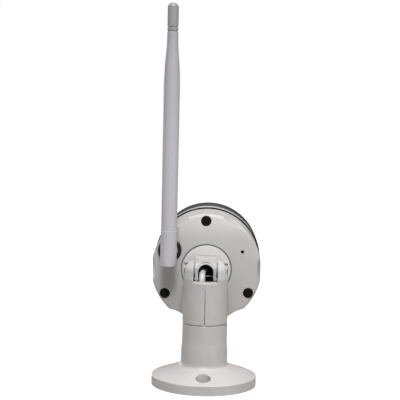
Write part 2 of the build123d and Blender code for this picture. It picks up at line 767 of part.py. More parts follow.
def filter_coil():
    core = block(-9, 9, 81.5, 88.5, 10, 11.5)
    return core + rod_x(3.0, -7, 7, 85, 14.2)


def sensor_board():
    board = block(-19, 19, SENSOR_BOARD_Y[0], SENSOR_BOARD_Y[1], -19, 19)
    for x in (-SENSOR_POST, SENSOR_POST):
        for z in (-SENSOR_POST, SENSOR_POST):
            board -= rod_y(SENSOR_SCREW_R, SENSOR_BOARD_Y[0] - 1, SENSOR_BOARD_Y[1] + 1, x, z)
    return board


def sensor_board_screws():
    screws = []
    face = SENSOR_BOARD_Y[0]
    for x in (-SENSOR_POST, SENSOR_POST):
        for z in (-SENSOR_POST, SENSOR_POST):
            screws.append(screw_y(1.9, (face - 1.4, face), SENSOR_SCREW_R, 85.7, x, z, 0.8))
    return group(screws)


def image_sensor():
    return block(-3.4, 3.4, SENSOR_BOARD_Y[1], SENSOR_BOARD_Y[1] + 1.4, -3.4, 3.4)


# ---------------------------------------------------------------- main electronics

def board_bracket():
    """Folded plate that takes the main board's heat to the rear wall."""
    plate = block(-BRACKET_HALF, BRACKET_HALF, INNER_WALL_Y, BRACKET_END_Y, *BRACKET_Z)
    plate += block(-12, 12, INNER_WALL_Y, INNER_WALL_Y + BRACKET_T, BRACKET_SCREW_Z - 5, BRACKET_Z[1])
    for x in BRACKET_SCREW_X:
        plate -= rod_y(BRACKET_THREAD_R, INNER_WALL_Y - 1, INNER_WALL_Y + 3, x, BRACKET_SCREW_Z)
    return plate


def bracket_screws():
    screws = []
    face = INNER_WALL_Y + BRACKET_T
    z = BRACKET_SCREW_Z
    for x in BRACKET_SCREW_X:
        screw = rod_y(2.2, face, face + 1.5, x, z) + rod_y(BRACKET_THREAD_R, 24.9, face, x, z)
        screws.append(screw - hex_y(1.0, face + 0.6, face + 3, x, z))
    return group(screws)


def standoff_places():
    return [(x, y) for x in (-STANDOFF_X, STANDOFF_X) for y in STANDOFF_Y]


def board_standoffs():
    posts = []
    for x, y in standoff_places():
        post = rod_z(2.4, BRACKET_Z[1], MAIN_BOARD_Z[0], x, y)
        posts.append(post - rod_z(STANDOFF_THREAD_R, -14, MAIN_BOARD_Z[0] + 1, x, y))
    return group(posts)


def board_screws():
    screws = []
    face = MAIN_BOARD_Z[1]
    for x, y in standoff_places():
        shank = rod_z(STANDOFF_THREAD_R, -13.7, face, x, y)
        screws.append(shank + rod_z(2.2, face, face + 1.4, x, y))
    return group(screws)


def main_board():
    half_x, start_y, end_y = MAIN_BOARD_EDGES
    board = block(-half_x, half_x, start_y, end_y, *MAIN_BOARD_Z)
    for x, y in standoff_places():
        board -= rod_z(STANDOFF_THREAD_R, MAIN_BOARD_Z[0] - 1, MAIN_BOARD_Z[1] + 1, x, y)
    return board


def chip_heat_sink():
    floor = MAIN_BOARD_Z[1]
    half_x, start_y, end_y = HEAT_SINK
    sink = block(-half_x, half_x, start_y, end_y, floor, floor + 1.6)
    for number in range(FIN_COUNT):
        x = (number - (FIN_COUNT - 1) / 2) * FIN_PITCH
        sink += block(x - 0.5, x + 0.5, start_y, end_y, floor + 1.6, floor + 8)
    return sink


def wifi_module():
    face = MAIN_BOARD_Z[1]
    return block(*WIFI_MODULE, face, face + WIFI_H)


def card_socket():
    face = MAIN_BOARD_Z[1]
    return block(*CARD_SOCKET, face, face + 1.9)


def lead_socket():
    return block(*LEAD_SOCKET, MAIN_BOARD_Z[1], LEAD_R + 0.65)


def microphone():
    x, z = MIC_AT
    return rod_y(3.0, INNER_WALL_Y, INNER_WALL_Y + 2.6, x, z)


# ---------------------------------------------------------------- antenna jack, drawn from the head's axis

def antenna_jack():
    return rod_y(JACK_R, JACK_Y[0], JACK_Y[1], JACK_X, JACK_Z)


def jack_nut():
    nut = hex_y(5.0, INNER_WALL_Y, INNER_WALL_Y + 2.6, JACK_X, JACK_Z)
    return nut - rod_y(JACK_R, INNER_WALL_Y - 1, INNER_WALL_Y + 4, JACK_X, JACK_Z)


def antenna_ring():
    ring = ring_y(RING_R[1], RING_R[0], JACK_FACE_Y - 1.6, JACK_FACE_Y, JACK_X, JACK_Z)
    outer_rim = ring.edges().group_by(Axis.Y)[0].sort_by(SortBy.LENGTH)[-1]
    return fillet(outer_rim, 0.5)


def coax_lead():
    points = (
        (JACK_X, JACK_Y[1], JACK_Z),
        (JACK_X, 39.0, JACK_Z - 0.4),
        (JACK_X + 2.0, 46.0, 10.0),
        (JACK_X + 5.6, 51.5, 3.4),
        (JACK_X + 8.4, 54.0, MAIN_BOARD_Z[1] + WIFI_H),
    )
    return tube("coax_lead", points, 0.9)


# ---------------------------------------------------------------- antenna, drawn from its hinge

def antenna_elbow():
    """Collar that turns on the jack, with the hinge's tongue behind it."""
    collar = rod_y(COLLAR_R, COLLAR_Y[0] - HINGE_Y, COLLAR_Y[1] - HINGE_Y)
    collar = chamfer(collar.edges().group_by(Axis.Y)[0], 0.6)
    collar -= rod_y(JACK_R + JACK_FIT, 18.2 - HINGE_Y, COLLAR_Y[1] - HINGE_Y + 1)
    tongue = block(-TONGUE_HALF, TONGUE_HALF, 0, COLLAR_Y[0] - HINGE_Y + 0.5, -TONGUE_R, TONGUE_R)
    tongue += rod_x(TONGUE_R, -TONGUE_HALF, TONGUE_HALF)
    return collar + tongue - rod_x(PIN_R + PIN_FIT, -TONGUE_HALF - 1, TONGUE_HALF + 1)


def antenna_base():
    body = rod_z(ANTENNA_BASE_R, ANTENNA_BASE_Z[0], ANTENNA_BASE_Z[1])
    swing = block(-ANTENNA_BASE_R, ANTENNA_BASE_R, 0, ANTENNA_BASE_R, ANTENNA_BASE_Z[0], 0)
    body -= swing - rod_x(ANTENNA_SWING_R, -ANTENNA_BASE_R - 1, ANTENNA_BASE_R + 1)
    body = chamfer(body.edges().group_by(Axis.Z)[-1], 0.35)
    gap = TONGUE_HALF + 0.2
    reach = TONGUE_R + 0.3
    body -= block(-gap, gap, -reach, ANTENNA_BASE_R + 2, ANTENNA_BASE_Z[0] - 1, reach)
    body -= rod_z(3.8, 8.0, ANTENNA_BASE_Z[1] + 1)
    return body - rod_x(PIN_R, -ANTENNA_BASE_R - 1, ANTENNA_BASE_R + 1)


def antenna_pin():
    return rod_x(PIN_R, -ANTENNA_BASE_R + 0.6, ANTENNA_BASE_R - 0.6)


def antenna_whip():
    """Hollow sleeve, straight for two thirds of its length and then tapering to the tip."""
    taper = Spline(
        (WHIP_R, 118.0),
        (5.55, 131.7),
        (4.40, 146.7),
        (TIP_R, 154.4),
        tangents=((0, 1), (0, 1)),
    )
    rest = Polyline(
        (TIP_R, 154.4),
        (TIP_R, WHIP_Z[1] - 0.3),
        (TIP_R - 0.3, WHIP_Z[1]),
        (2.6, WHIP_Z[1]),
        (2.6, 146.0),
        (3.0, 8.2),
        (3.8, 8.2),
        (3.8, WHIP_Z[0]),
        (WHIP_R - 0.15, WHIP_Z[0]),
        (WHIP_R, WHIP_Z[0] + 0.15),
        (WHIP_R, 118.0),
    )
    return upright(spun([taper.edge(), *rest.edges()]))


def antenna_tip():
    """Closing plug: a stem inside the sleeve, two grooves, then a domed end."""
    start = WHIP_Z[1]
    dome_r = (TIP_R**2 + TIP_DOME_H**2) / (2 * TIP_DOME_H)
    half_way = TIP_END_Z - dome_r + math.sqrt(dome_r**2 - (TIP_R / 2) ** 2)
    dome = ThreePointArc((TIP_R, TIP_END_Z - TIP_DOME_H), (TIP_R / 2, half_way), (0, TIP_END_Z))
    rest = Polyline(
        (0, TIP_END_Z),
        (0, start - 6),
        (2.6, start - 6),
        (2.6, start),
        (TIP_R - 0.5, start),
        (TIP_R - 0.5, start + 0.9),
        (TIP_R, start + 1.2),
        (TIP_R, start + 2.6),
        (TIP_R - 0.5, start + 2.9),
        (TIP_R - 0.5, start + 3.7),
        (TIP_R, start + 4.0),
        (TIP_R, TIP_END_Z - TIP_DOME_H),
    )
    return upright(spun([dome.edge(), *rest.edges()]))


def antenna_element():
    """Radiating rod with its matching sleeve, inside the whip."""
    return rod_z(0.8, 10, 142) + rod_z(2.2, 40, 78)


# ---------------------------------------------------------------- lead

def lead():
    route = [*LEAD_ROUTE, (0.02, LEAD_END_Y, HEAD_Z + 0.02)]
    return tube("lead", route, LEAD_R)


def lead_plug():
    """Inline connector on the lead's end, inside the bracket's foot."""
    x, y, top = LEAD_ROUTE[0]
    bottom, waist = LEAD_PLUG_Z
    plug = rod_z(4.6, bottom, waist, x, y) + rod_z(3.4, waist, top, x, y)
    return plug - rod_z(2.6, bottom - 1, waist - 4, x, y)


def lead_inner():
    return rod_y(LEAD_R, LEAD_END_Y + 0.4, 44)


# ---------------------------------------------------------------- writing

FIXED_FRAME = (
    base_flange, flange_gasket, pan_friction_ring, lock_screw,
    fork_arm, pan_circlip, pan_washer, lead, lead_plug,
    swivel_knuckle, pivot_washers, pivot_screws, roll_seal, roll_retainer, retainer_screws,
)
HEAD_FRAME = (
    rear_housing, housing_plugs, housing_screws, seam_gasket,
    front_band, front_hood, front_bezel, glass_gasket, front_glass, glass_retainer,
    inner_frame, ir_board, ir_board_screws, ir_leds, light_baffle,
    lens_barrel, lens_glass, lens_holder, filter_frame, filter_glasses, filter_coil,
    sensor_board, sensor_board_screws, image_sensor,
    board_bracket, bracket_screws, board_standoffs, board_screws, main_board,
    chip_heat_sink, wifi_module, card_socket, lead_socket, lead_inner,
    microphone, antenna_jack, jack_nut, antenna_ring, coax_lead,
)
HINGE_FRAME = (antenna_elbow, antenna_base, antenna_pin, antenna_whip, antenna_tip, antenna_element)


def write(makers, place):
    for maker in makers:
        placed = [place * solid for solid in maker().solids()]
        shape = placed[0] if len(placed) == 1 else group(placed)
        export_step(shape, f"parts/{maker.__name__}.step")


os.makedirs("parts", exist_ok=True)
write(FIXED_FRAME, Pos(0, 0, 0))
write(HEAD_FRAME, Pos(0, 0, HEAD_Z))
write(HINGE_FRAME, Pos(JACK_X, HINGE_Y, HEAD_Z + JACK_Z))
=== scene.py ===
import math

import bmesh
import bpy
from mathutils import Matrix, Vector


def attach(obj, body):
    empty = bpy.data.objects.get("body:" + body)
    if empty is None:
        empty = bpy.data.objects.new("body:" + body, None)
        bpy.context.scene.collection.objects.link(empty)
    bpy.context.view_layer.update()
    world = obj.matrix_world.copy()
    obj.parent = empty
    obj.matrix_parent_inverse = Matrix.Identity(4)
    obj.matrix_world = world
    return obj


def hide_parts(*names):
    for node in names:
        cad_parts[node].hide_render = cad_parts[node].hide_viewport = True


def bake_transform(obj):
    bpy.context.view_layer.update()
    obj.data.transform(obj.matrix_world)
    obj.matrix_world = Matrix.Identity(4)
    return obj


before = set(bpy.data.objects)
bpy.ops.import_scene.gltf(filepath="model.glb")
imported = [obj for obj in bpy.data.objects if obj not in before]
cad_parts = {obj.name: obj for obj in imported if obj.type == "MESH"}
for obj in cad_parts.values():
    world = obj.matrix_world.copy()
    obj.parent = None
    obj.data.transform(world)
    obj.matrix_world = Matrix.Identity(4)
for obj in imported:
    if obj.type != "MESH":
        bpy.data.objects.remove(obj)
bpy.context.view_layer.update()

MM = 0.001

# Places on the camera in millimetres, as in the CAD part.
HEAD_Z = 80.4
JACK_X = -27.6
JACK_Z = 94.2
FOLD_PIN_Y = 6.0
WINDOW_ARCH_Z = 81.9
WINDOW_HALF = 5.5
MICROPHONE_X = 26.6
MICROPHONE_Z = HEAD_Z + 13.6

# The lead's radius, in millimetres.
LEAD_RADIUS = 2.35


# ---------------------------------------------------------------- shader helpers

def empty_material(name):
    """A new material with its Principled shader, and the coordinates that its textures read."""
    material = bpy.data.materials.new(name)
    material.use_nodes = True
    tree = material.node_tree
    shader = tree.nodes["Principled BSDF"]
    coords = tree.nodes.new("ShaderNodeTexCoord").outputs["Object"]
    return material, tree, shader, coords


def noise(tree, coords, scale, detail=3.0):
    """A noise pattern with scale features per metre."""
    texture = tree.nodes.new("ShaderNodeTexNoise")
    texture.inputs["Scale"].default_value = scale
    texture.inputs["Detail"].default_value = detail
    texture.inputs["Roughness"].default_value = 0.55
    tree.links.new(coords, texture.inputs["Vector"])
    return texture.outputs["Fac"]


def stretched(tree, coords, scale):
    """The coordinates scaled differently along each axis, for brushed or drawn marks."""
    mapping = tree.nodes.new("ShaderNodeMapping")
    mapping.inputs["Scale"].default_value = scale
    tree.links.new(coords, mapping.inputs["Vector"])
    return mapping.outputs["Vector"]


def ranged(tree, value, low, high, to_low, to_high):
    """value carried from the range low..high to the range to_low..to_high."""
    node = tree.nodes.new("ShaderNodeMapRange")
    for socket, number in zip(("From Min", "From Max", "To Min", "To Max"), (low, high, to_low, to_high)):
        node.inputs[socket].default_value = number
    tree.links.new(value, node.inputs["Value"])
    return node.outputs["Result"]


def mixed(tree, factor, first, second):
    """A colour between first and second. Each is an (r, g, b) or another node's output."""
    node = tree.nodes.new("ShaderNodeMix")
    node.data_type = "RGBA"
    for socket, colour in ((6, first), (7, second)):
        if isinstance(colour, tuple):
            node.inputs[socket].default_value = (*colour, 1.0)
        else:
            tree.links.new(colour, node.inputs[socket])
    tree.links.new(factor, node.inputs["Factor"])
    return node.outputs[2]


def bumped(tree, shader, layers, edge_radius=0.0):
    """Bump from several (height output, depth in metres) layers. Edges look rounded by edge_radius."""
    normal = None
    if edge_radius:
        rounded = tree.nodes.new("ShaderNodeBevel")
        rounded.samples = 8
        rounded.inputs["Radius"].default_value = edge_radius
        normal = rounded.outputs["Normal"]
    for height, depth in layers:
        bump = tree.nodes.new("ShaderNodeBump")
        bump.inputs["Distance"].default_value = depth
        bump.inputs["Strength"].default_value = 1.0
        tree.links.new(height, bump.inputs["Height"])
        if normal is not None:
            tree.links.new(normal, bump.inputs["Normal"])
        normal = bump.outputs["Normal"]
    tree.links.new(normal, shader.inputs["Normal"])


def edge_mask(tree, radius, low, high):
    """About 1 on edges sharper than the radius and 0 elsewhere."""
    bevel = tree.nodes.new("ShaderNodeBevel")
    bevel.samples = 6
    bevel.inputs["Radius"].default_value = radius
    geometry = tree.nodes.new("ShaderNodeNewGeometry")
    dot = tree.nodes.new("ShaderNodeVectorMath")
    dot.operation = "DOT_PRODUCT"
    tree.links.new(bevel.outputs["Normal"], dot.inputs[0])
    tree.links.new(geometry.outputs["Normal"], dot.inputs[1])
    return ranged(tree, dot.outputs["Value"], 1.0 - low, 1.0 - high, 0.0, 1.0)


def math_node(tree, operation, first, second=None):
    """One math node. first and second are each a number or another node's output."""
    node = tree.nodes.new("ShaderNodeMath")
    node.operation = operation
    for socket, value in zip(node.inputs, (first, second)):
        if isinstance(value, (int, float)):
            socket.default_value = value
        elif value is not None:
            tree.links.new(value, socket)
    return node.outputs["Value"]


def inside_arch(tree, coords, half, arch_z, end_y):
    """1 within an arched passage along Y that is open downwards and ends at end_y, and 0 elsewhere."""
    split = tree.nodes.new("ShaderNodeSeparateXYZ")
    tree.links.new(coords, split.inputs["Vector"])
    above = math_node(tree, "MAXIMUM", math_node(tree, "SUBTRACT", split.outputs["Z"], arch_z), 0.0)
    across = math_node(tree, "POWER", split.outputs["X"], 2.0)
    upward = math_node(tree, "POWER", above, 2.0)
    near = math_node(tree, "LESS_THAN", math_node(tree, "ADD", across, upward), half**2)
    return math_node(tree, "MULTIPLY", near, math_node(tree, "LESS_THAN", split.outputs["Y"], end_y))


def rising(tree, coords, low_z, high_z):
    """0 below low_z, 1 above high_z, and evenly rising between them."""
    split = tree.nodes.new("ShaderNodeSeparateXYZ")
    tree.links.new(coords, split.inputs["Vector"])
    return ranged(tree, split.outputs["Z"], low_z, high_z, 0, 1)


def inside_rod(tree, coords, radius, x, z, start_y):
    """1 within a rod along Y from start_y on, and 0 elsewhere."""
    split = tree.nodes.new("ShaderNodeSeparateXYZ")
    tree.links.new(coords, split.inputs["Vector"])
    across = math_node(tree, "POWER", math_node(tree, "SUBTRACT", split.outputs["X"], x), 2.0)
    upward = math_node(tree, "POWER", math_node(tree, "SUBTRACT", split.outputs["Z"], z), 2.0)
    near = math_node(tree, "LESS_THAN", math_node(tree, "ADD", across, upward), radius**2)
    return math_node(tree, "MULTIPLY", near, math_node(tree, "GREATER_THAN", split.outputs["Y"], start_y))


def inside_box(tree, coords, half_x, half_y, low_z, high_z):
    """1 within a box about the Z axis, and 0 elsewhere."""
    split = tree.nodes.new("ShaderNodeSeparateXYZ")
    tree.links.new(coords, split.inputs["Vector"])
    mask = math_node(tree, "LESS_THAN", math_node(tree, "ABSOLUTE", split.outputs["X"]), half_x)
    for test in (
        math_node(tree, "LESS_THAN", math_node(tree, "ABSOLUTE", split.outputs["Y"]), half_y),
        math_node(tree, "GREATER_THAN", split.outputs["Z"], low_z),
        math_node(tree, "LESS_THAN", split.outputs["Z"], high_z),
    ):
        mask = math_node(tree, "MULTIPLY", mask, test)
    return mask




def repaint(material, mask_of, colour, share=1.0):
    """Blends a share of a colour into the part of a material where the mask is 1, to paint light or shade
    into it.
    """
    tree = material.node_tree
    shader = tree.nodes["Principled BSDF"]
    coords = tree.nodes.new("ShaderNodeTexCoord").outputs["Object"]
    socket = shader.inputs["Base Color"]
    tone = socket.links[0].from_socket
    factor = math_node(tree, "MULTIPLY", mask_of(tree, coords), share)
    tree.links.new(mixed(tree, factor, tone, colour), socket)


# ---------------------------------------------------------------- materials

def paint(name, light, dark, worn, roughness=0.42, edge_radius=0.0):
    """Sprayed paint over a casting: cloudy tone, orange peel, fine grain and paler worn edges."""
    material, tree, shader, coords = empty_material(name)
    clouds = ranged(tree, noise(tree, coords, 45), 0.3, 0.7, 0, 1)
    specks = ranged(tree, noise(tree, coords, 2600, 2), 0.35, 0.7, 0, 1)
    tone = mixed(tree, clouds, light, dark)
    tone = mixed(tree, ranged(tree, specks, 0, 1, 0, 0.35), tone, dark)
    patches = ranged(tree, noise(tree, coords, 260), 0.4, 0.65, 0.1, 1)
    wear = math_node(tree, "MULTIPLY", edge_mask(tree, 0.5 * MM, 0.02, 0.16), patches)
    tree.links.new(mixed(tree, wear, tone, worn), shader.inputs["Base Color"])
    rough = ranged(tree, noise(tree, coords, 160), 0.3, 0.7, roughness - 0.06, roughness + 0.08)
    tree.links.new(rough, shader.inputs["Roughness"])
    peel = (noise(tree, coords, 900), 0.02 * MM)
    grain = (noise(tree, coords, 4200, 1), 0.006 * MM)
    bumped(tree, shader, (peel, grain), edge_radius)
    return material


def moulded(name, light, dark, roughness=0.5, texture=0.012 * MM):
    """Moulded plastic: slight flow clouding and a fine spark-eroded texture."""
    material, tree, shader, coords = empty_material(name)
    flow = noise(tree, stretched(tree, coords, (1, 1, 0.25)), 60)
    tone = mixed(tree, ranged(tree, flow, 0.3, 0.7, 0, 1), light, dark)
    tree.links.new(tone, shader.inputs["Base Color"])
    rough = ranged(tree, noise(tree, coords, 220), 0.3, 0.7, roughness - 0.05, roughness + 0.07)
    tree.links.new(rough, shader.inputs["Roughness"])
    bumped(tree, shader, ((noise(tree, coords, 3000, 2), texture), (noise(tree, coords, 380), texture)))
    return material


def rubber(name, light, dark, roughness=0.62):
    """Moulded rubber: dusty bloom in patches, and a soft pebbled skin."""
    material, tree, shader, coords = empty_material(name)
    bloom = ranged(tree, noise(tree, coords, 420, 4), 0.42, 0.72, 0, 1)
    tree.links.new(mixed(tree, bloom, dark, light), shader.inputs["Base Color"])
    rough = ranged(tree, bloom, 0, 1, roughness - 0.12, roughness + 0.1)
    tree.links.new(rough, shader.inputs["Roughness"])
    shader.inputs["Specular IOR Level"].default_value = 0.16
    bumped(tree, shader, ((noise(tree, coords, 2400, 3), 0.02 * MM),))
    return material


def metal(name, light, dark, roughness=0.3, marks=(1, 1, 1)):
    """Bare metal with machining marks drawn out along one axis."""
    material, tree, shader, coords = empty_material(name)
    shader.inputs["Metallic"].default_value = 1.0
    drawn = noise(tree, stretched(tree, coords, marks), 1500, 4)
    tone = mixed(tree, ranged(tree, drawn, 0.3, 0.7, 0, 1), light, dark)
    tree.links.new(tone, shader.inputs["Base Color"])
    rough = ranged(tree, noise(tree, coords, 300), 0.3, 0.7, roughness - 0.08, roughness + 0.12)
    tree.links.new(rough, shader.inputs["Roughness"])
    bumped(tree, shader, ((drawn, 0.006 * MM),))
    return material


def glass(name, colour, roughness=0.02, ior=1.5):
    """Clear glass with faint wipe marks in its gloss."""
    material, tree, shader, coords = empty_material(name)
    shader.inputs["Base Color"].default_value = (*colour, 1.0)
    shader.inputs["Transmission Weight"].default_value = 1.0
    shader.inputs["IOR"].default_value = ior
    wipes = noise(tree, stretched(tree, coords, (1, 1, 0.2)), 90, 5)
    tree.links.new(ranged(tree, wipes, 0.35, 0.75, roughness, roughness + 0.05), shader.inputs["Roughness"])
    return material


def epoxy(name, light, dark):
    """Glossy cast epoxy, as on an LED."""
    material, tree, shader, coords = empty_material(name)
    tone = mixed(tree, ranged(tree, noise(tree, coords, 500), 0.35, 0.65, 0, 1), light, dark)
    tree.links.new(tone, shader.inputs["Base Color"])
    rough = ranged(tree, noise(tree, coords, 900), 0.3, 0.7, 0.12, 0.22)
    tree.links.new(rough, shader.inputs["Roughness"])
    shader.inputs["Coat Weight"].default_value = 0.6
    shader.inputs["Coat Roughness"].default_value = 0.05
    bumped(tree, shader, ((noise(tree, coords, 700), 0.01 * MM),))
    return material


def circuit(name, mask, copper):
    """Solder mask with paler tracks under it."""
    material, tree, shader, coords = empty_material(name)
    cells = tree.nodes.new("ShaderNodeTexVoronoi")
    cells.distance = "MANHATTAN"
    cells.feature = "DISTANCE_TO_EDGE"
    cells.inputs["Scale"].default_value = 260
    tree.links.new(coords, cells.inputs["Vector"])
    tracks = ranged(tree, cells.outputs["Distance"], 0.05, 0.08, 1, 0)
    tree.links.new(mixed(tree, tracks, mask, copper), shader.inputs["Base Color"])
    rough = ranged(tree, noise(tree, coords, 400), 0.3, 0.7, 0.25, 0.4)
    tree.links.new(rough, shader.inputs["Roughness"])
    bumped(tree, shader, ((tracks, 0.03 * MM), (noise(tree, coords, 2600, 1), 0.006 * MM)))
    return material


PAINT_TONES = ((0.57, 0.542, 0.530), (0.51, 0.484, 0.472), (0.66, 0.64, 0.63))
HOUSING_TONES = ((0.55, 0.537, 0.527), (0.50, 0.487, 0.478), (0.60, 0.59, 0.58))
HOOD_TONES = ((0.066, 0.064, 0.064), (0.046, 0.045, 0.045), (0.18, 0.18, 0.18))
# Tones for painted light and shade: pale for painted highlights, darker grey and near black for painted
# shade.
PAINTED_LIGHT_TONE = (0.80, 0.785, 0.775)
PAINTED_SHADE_BLACK = (0.05, 0.048, 0.046)
PAINTED_SHADE_TONE = (0.40, 0.385, 0.375)
PAINTED_SHADE_GREY = (0.36, 0.355, 0.375)

# Regions where light or shade is painted into the colour. A box is (half x, half y, lowest z, highest z),
# in millimetres.
FLANGE_CONE = (37.6, 37.6, 6.5, 14.5)
EARS = (20.0, 20.0, 77.0, 95.0)
ARM_ROOM = (6.25, 7.55, 20.0, 75.38)
NECK = (7.6, 19.2, 86.0, 91.3)
NECK_NEAR_EYE = (7.6, 17.3, 86.0, 93.0)


def box_mask(box):
    """The mask of a box given in millimetres, for repaint."""
    half_x, half_y, low_z, high_z = (MM * value for value in box)
    return lambda tree, coords: inside_box(tree, coords, half_x, half_y, low_z, high_z)


def disc_mask(tree, coords):
    """The swivel disc on the knuckle's far side, where a painted highlight goes."""
    return inside_rod(tree, coords, 18.5 * MM, 0.0, HEAD_Z * MM, 17.5 * MM)


def passage_mask(tree, coords):
    """The walls of the knuckle's arched passage, where painted shade goes."""
    return inside_arch(tree, coords, (WINDOW_HALF + 0.03) * MM, WINDOW_ARCH_Z * MM, 28.0 * MM)


# The microphone hole in the housing, where painted shade goes.
def microphone_hole_mask(tree, coords):
    return inside_rod(tree, coords, 1.2 * MM, MICROPHONE_X * MM, MICROPHONE_Z * MM, 20.5 * MM)


# The housing's upper part, where a painted highlight goes.
def housing_top_mask(tree, coords):
    return rising(tree, coords, 103.0 * MM, 115.0 * MM)


# The antenna's upper part, where painted shade goes.
def antenna_tip_mask(tree, coords):
    return rising(tree, coords, 170.0 * MM, 250.0 * MM)


LIGHT_PAINT = paint("light_grey_paint", *PAINT_TONES)
# Painted highlight: the flange's cone, which faces up to the lights, is painted paler.
repaint(LIGHT_PAINT, box_mask(FLANGE_CONE), PAINTED_LIGHT_TONE, 0.35)

KNUCKLE_PAINT = paint("knuckle_paint", *PAINT_TONES)
# Painted highlight: the swivel disc, lit from above, is painted paler.
repaint(KNUCKLE_PAINT, disc_mask, PAINTED_LIGHT_TONE, 0.55)
# Painted shade on the knuckle's neck, with a painted highlight near the eye on top of it.
repaint(KNUCKLE_PAINT, box_mask(NECK), PAINTED_SHADE_TONE, 0.8)
repaint(KNUCKLE_PAINT, box_mask(NECK_NEAR_EYE), PAINTED_LIGHT_TONE, 0.2)
# Painted shade: the passage's walls are painted near black.
repaint(KNUCKLE_PAINT, passage_mask, PAINTED_SHADE_BLACK)

ARM_PAINT = paint("arm_paint", *PAINT_TONES)
# Painted highlight: the arm's ears, lit from above, are painted paler.
repaint(ARM_PAINT, box_mask(EARS), PAINTED_LIGHT_TONE, 0.45)
# Painted shade: the room inside the arm under the knuckle is painted near black.
repaint(ARM_PAINT, box_mask(ARM_ROOM), PAINTED_SHADE_BLACK)

HOUSING_PAINT = paint("housing_paint", *HOUSING_TONES, 0.50, edge_radius=1.2 * MM)
# Painted highlight: the housing is painted paler towards its top.
repaint(HOUSING_PAINT, housing_top_mask, PAINTED_LIGHT_TONE, 0.35)
# Painted shade: the microphone hole is painted near black.
repaint(HOUSING_PAINT, microphone_hole_mask, PAINTED_SHADE_BLACK)

ANTENNA_PLASTIC = moulded("antenna_plastic", (0.575, 0.560, 0.595), (0.53, 0.515, 0.545), 0.48)
# Painted shade: the antenna is painted greyer towards its tip, where less light falls.
repaint(ANTENNA_PLASTIC, antenna_tip_mask, PAINTED_SHADE_GREY, 0.6)

BARE_EDGE = paint("bare_edge", (0.80, 0.79, 0.78), (0.72, 0.71, 0.70), (0.86, 0.85, 0.84))
HOOD_PAINT = paint("dark_grey_paint", *HOOD_TONES, 0.40)
# Pale plastic for the antenna's joint ring, a painted highlight line along the joint.
JOINT_PLASTIC = moulded("joint_plastic", (0.72, 0.70, 0.74), (0.66, 0.64, 0.68), 0.45)
TIP_PLASTIC = moulded("tip_plastic", (0.38, 0.38, 0.39), (0.33, 0.33, 0.34), 0.42)
BLACK_PLASTIC = moulded("black_plastic", (0.022, 0.022, 0.024), (0.014, 0.014, 0.015), 0.45)
NYLON = moulded("natural_nylon", (0.74, 0.72, 0.66), (0.66, 0.64, 0.58), 0.4)
GREY_NYLON = moulded("grey_nylon", (0.36, 0.355, 0.35), (0.28, 0.275, 0.27), 0.5)
CHIP_EPOXY = moulded("chip_epoxy", (0.03, 0.03, 0.032), (0.02, 0.02, 0.022), 0.6)
BLACK_RUBBER = rubber("black_rubber", (0.006, 0.0055, 0.0055), (0.002, 0.0019, 0.0018))
RING_RUBBER = rubber("ring_rubber", (0.034, 0.031, 0.035), (0.014, 0.013, 0.015))
MICROPHONE_FELT = rubber("microphone_felt", (0.012, 0.012, 0.012), (0.004, 0.004, 0.004), 0.8)
WHITE_JACKET = moulded("white_jacket", (0.78, 0.765, 0.75), (0.70, 0.69, 0.67), 0.38, 0.008 * MM)
BLACK_JACKET = moulded("black_jacket", (0.02, 0.02, 0.02), (0.012, 0.012, 0.012), 0.4)
STAINLESS = metal("stainless_steel", (0.66, 0.65, 0.64), (0.5, 0.5, 0.49), 0.25, (1, 1, 6))
DULL_STEEL = metal("dull_steel", (0.20, 0.195, 0.19), (0.09, 0.088, 0.085), 0.42, (6, 1, 1))
ZINC = metal("zinc_plate", (0.62, 0.62, 0.64), (0.5, 0.5, 0.5), 0.35)
BLUED = metal("blued_steel", (0.1, 0.1, 0.115), (0.05, 0.05, 0.06), 0.35)
BRASS = metal("turned_brass", (0.72, 0.52, 0.24), (0.58, 0.4, 0.17), 0.3, (1, 8, 1))
BARE_ALUMINIUM = metal("bare_aluminium", (0.74, 0.74, 0.75), (0.62, 0.62, 0.63), 0.38, (6, 0.5, 1))
TIN = metal("tin_plate", (0.66, 0.66, 0.64), (0.55, 0.55, 0.53), 0.3)
CLEAR_GLASS = glass("clear_glass", (0.96, 0.98, 0.98))
LENS_GLASS = glass("lens_glass", (0.62, 0.5, 0.78), 0.01, 1.62)
FILTER_GLASS = glass("filter_glass", (0.85, 0.4, 0.45))
LED_EPOXY = epoxy("led_epoxy", (0.11, 0.085, 0.12), (0.06, 0.045, 0.07))
CIRCUIT = circuit("circuit_board", (0.012, 0.085, 0.03), (0.05, 0.2, 0.08))

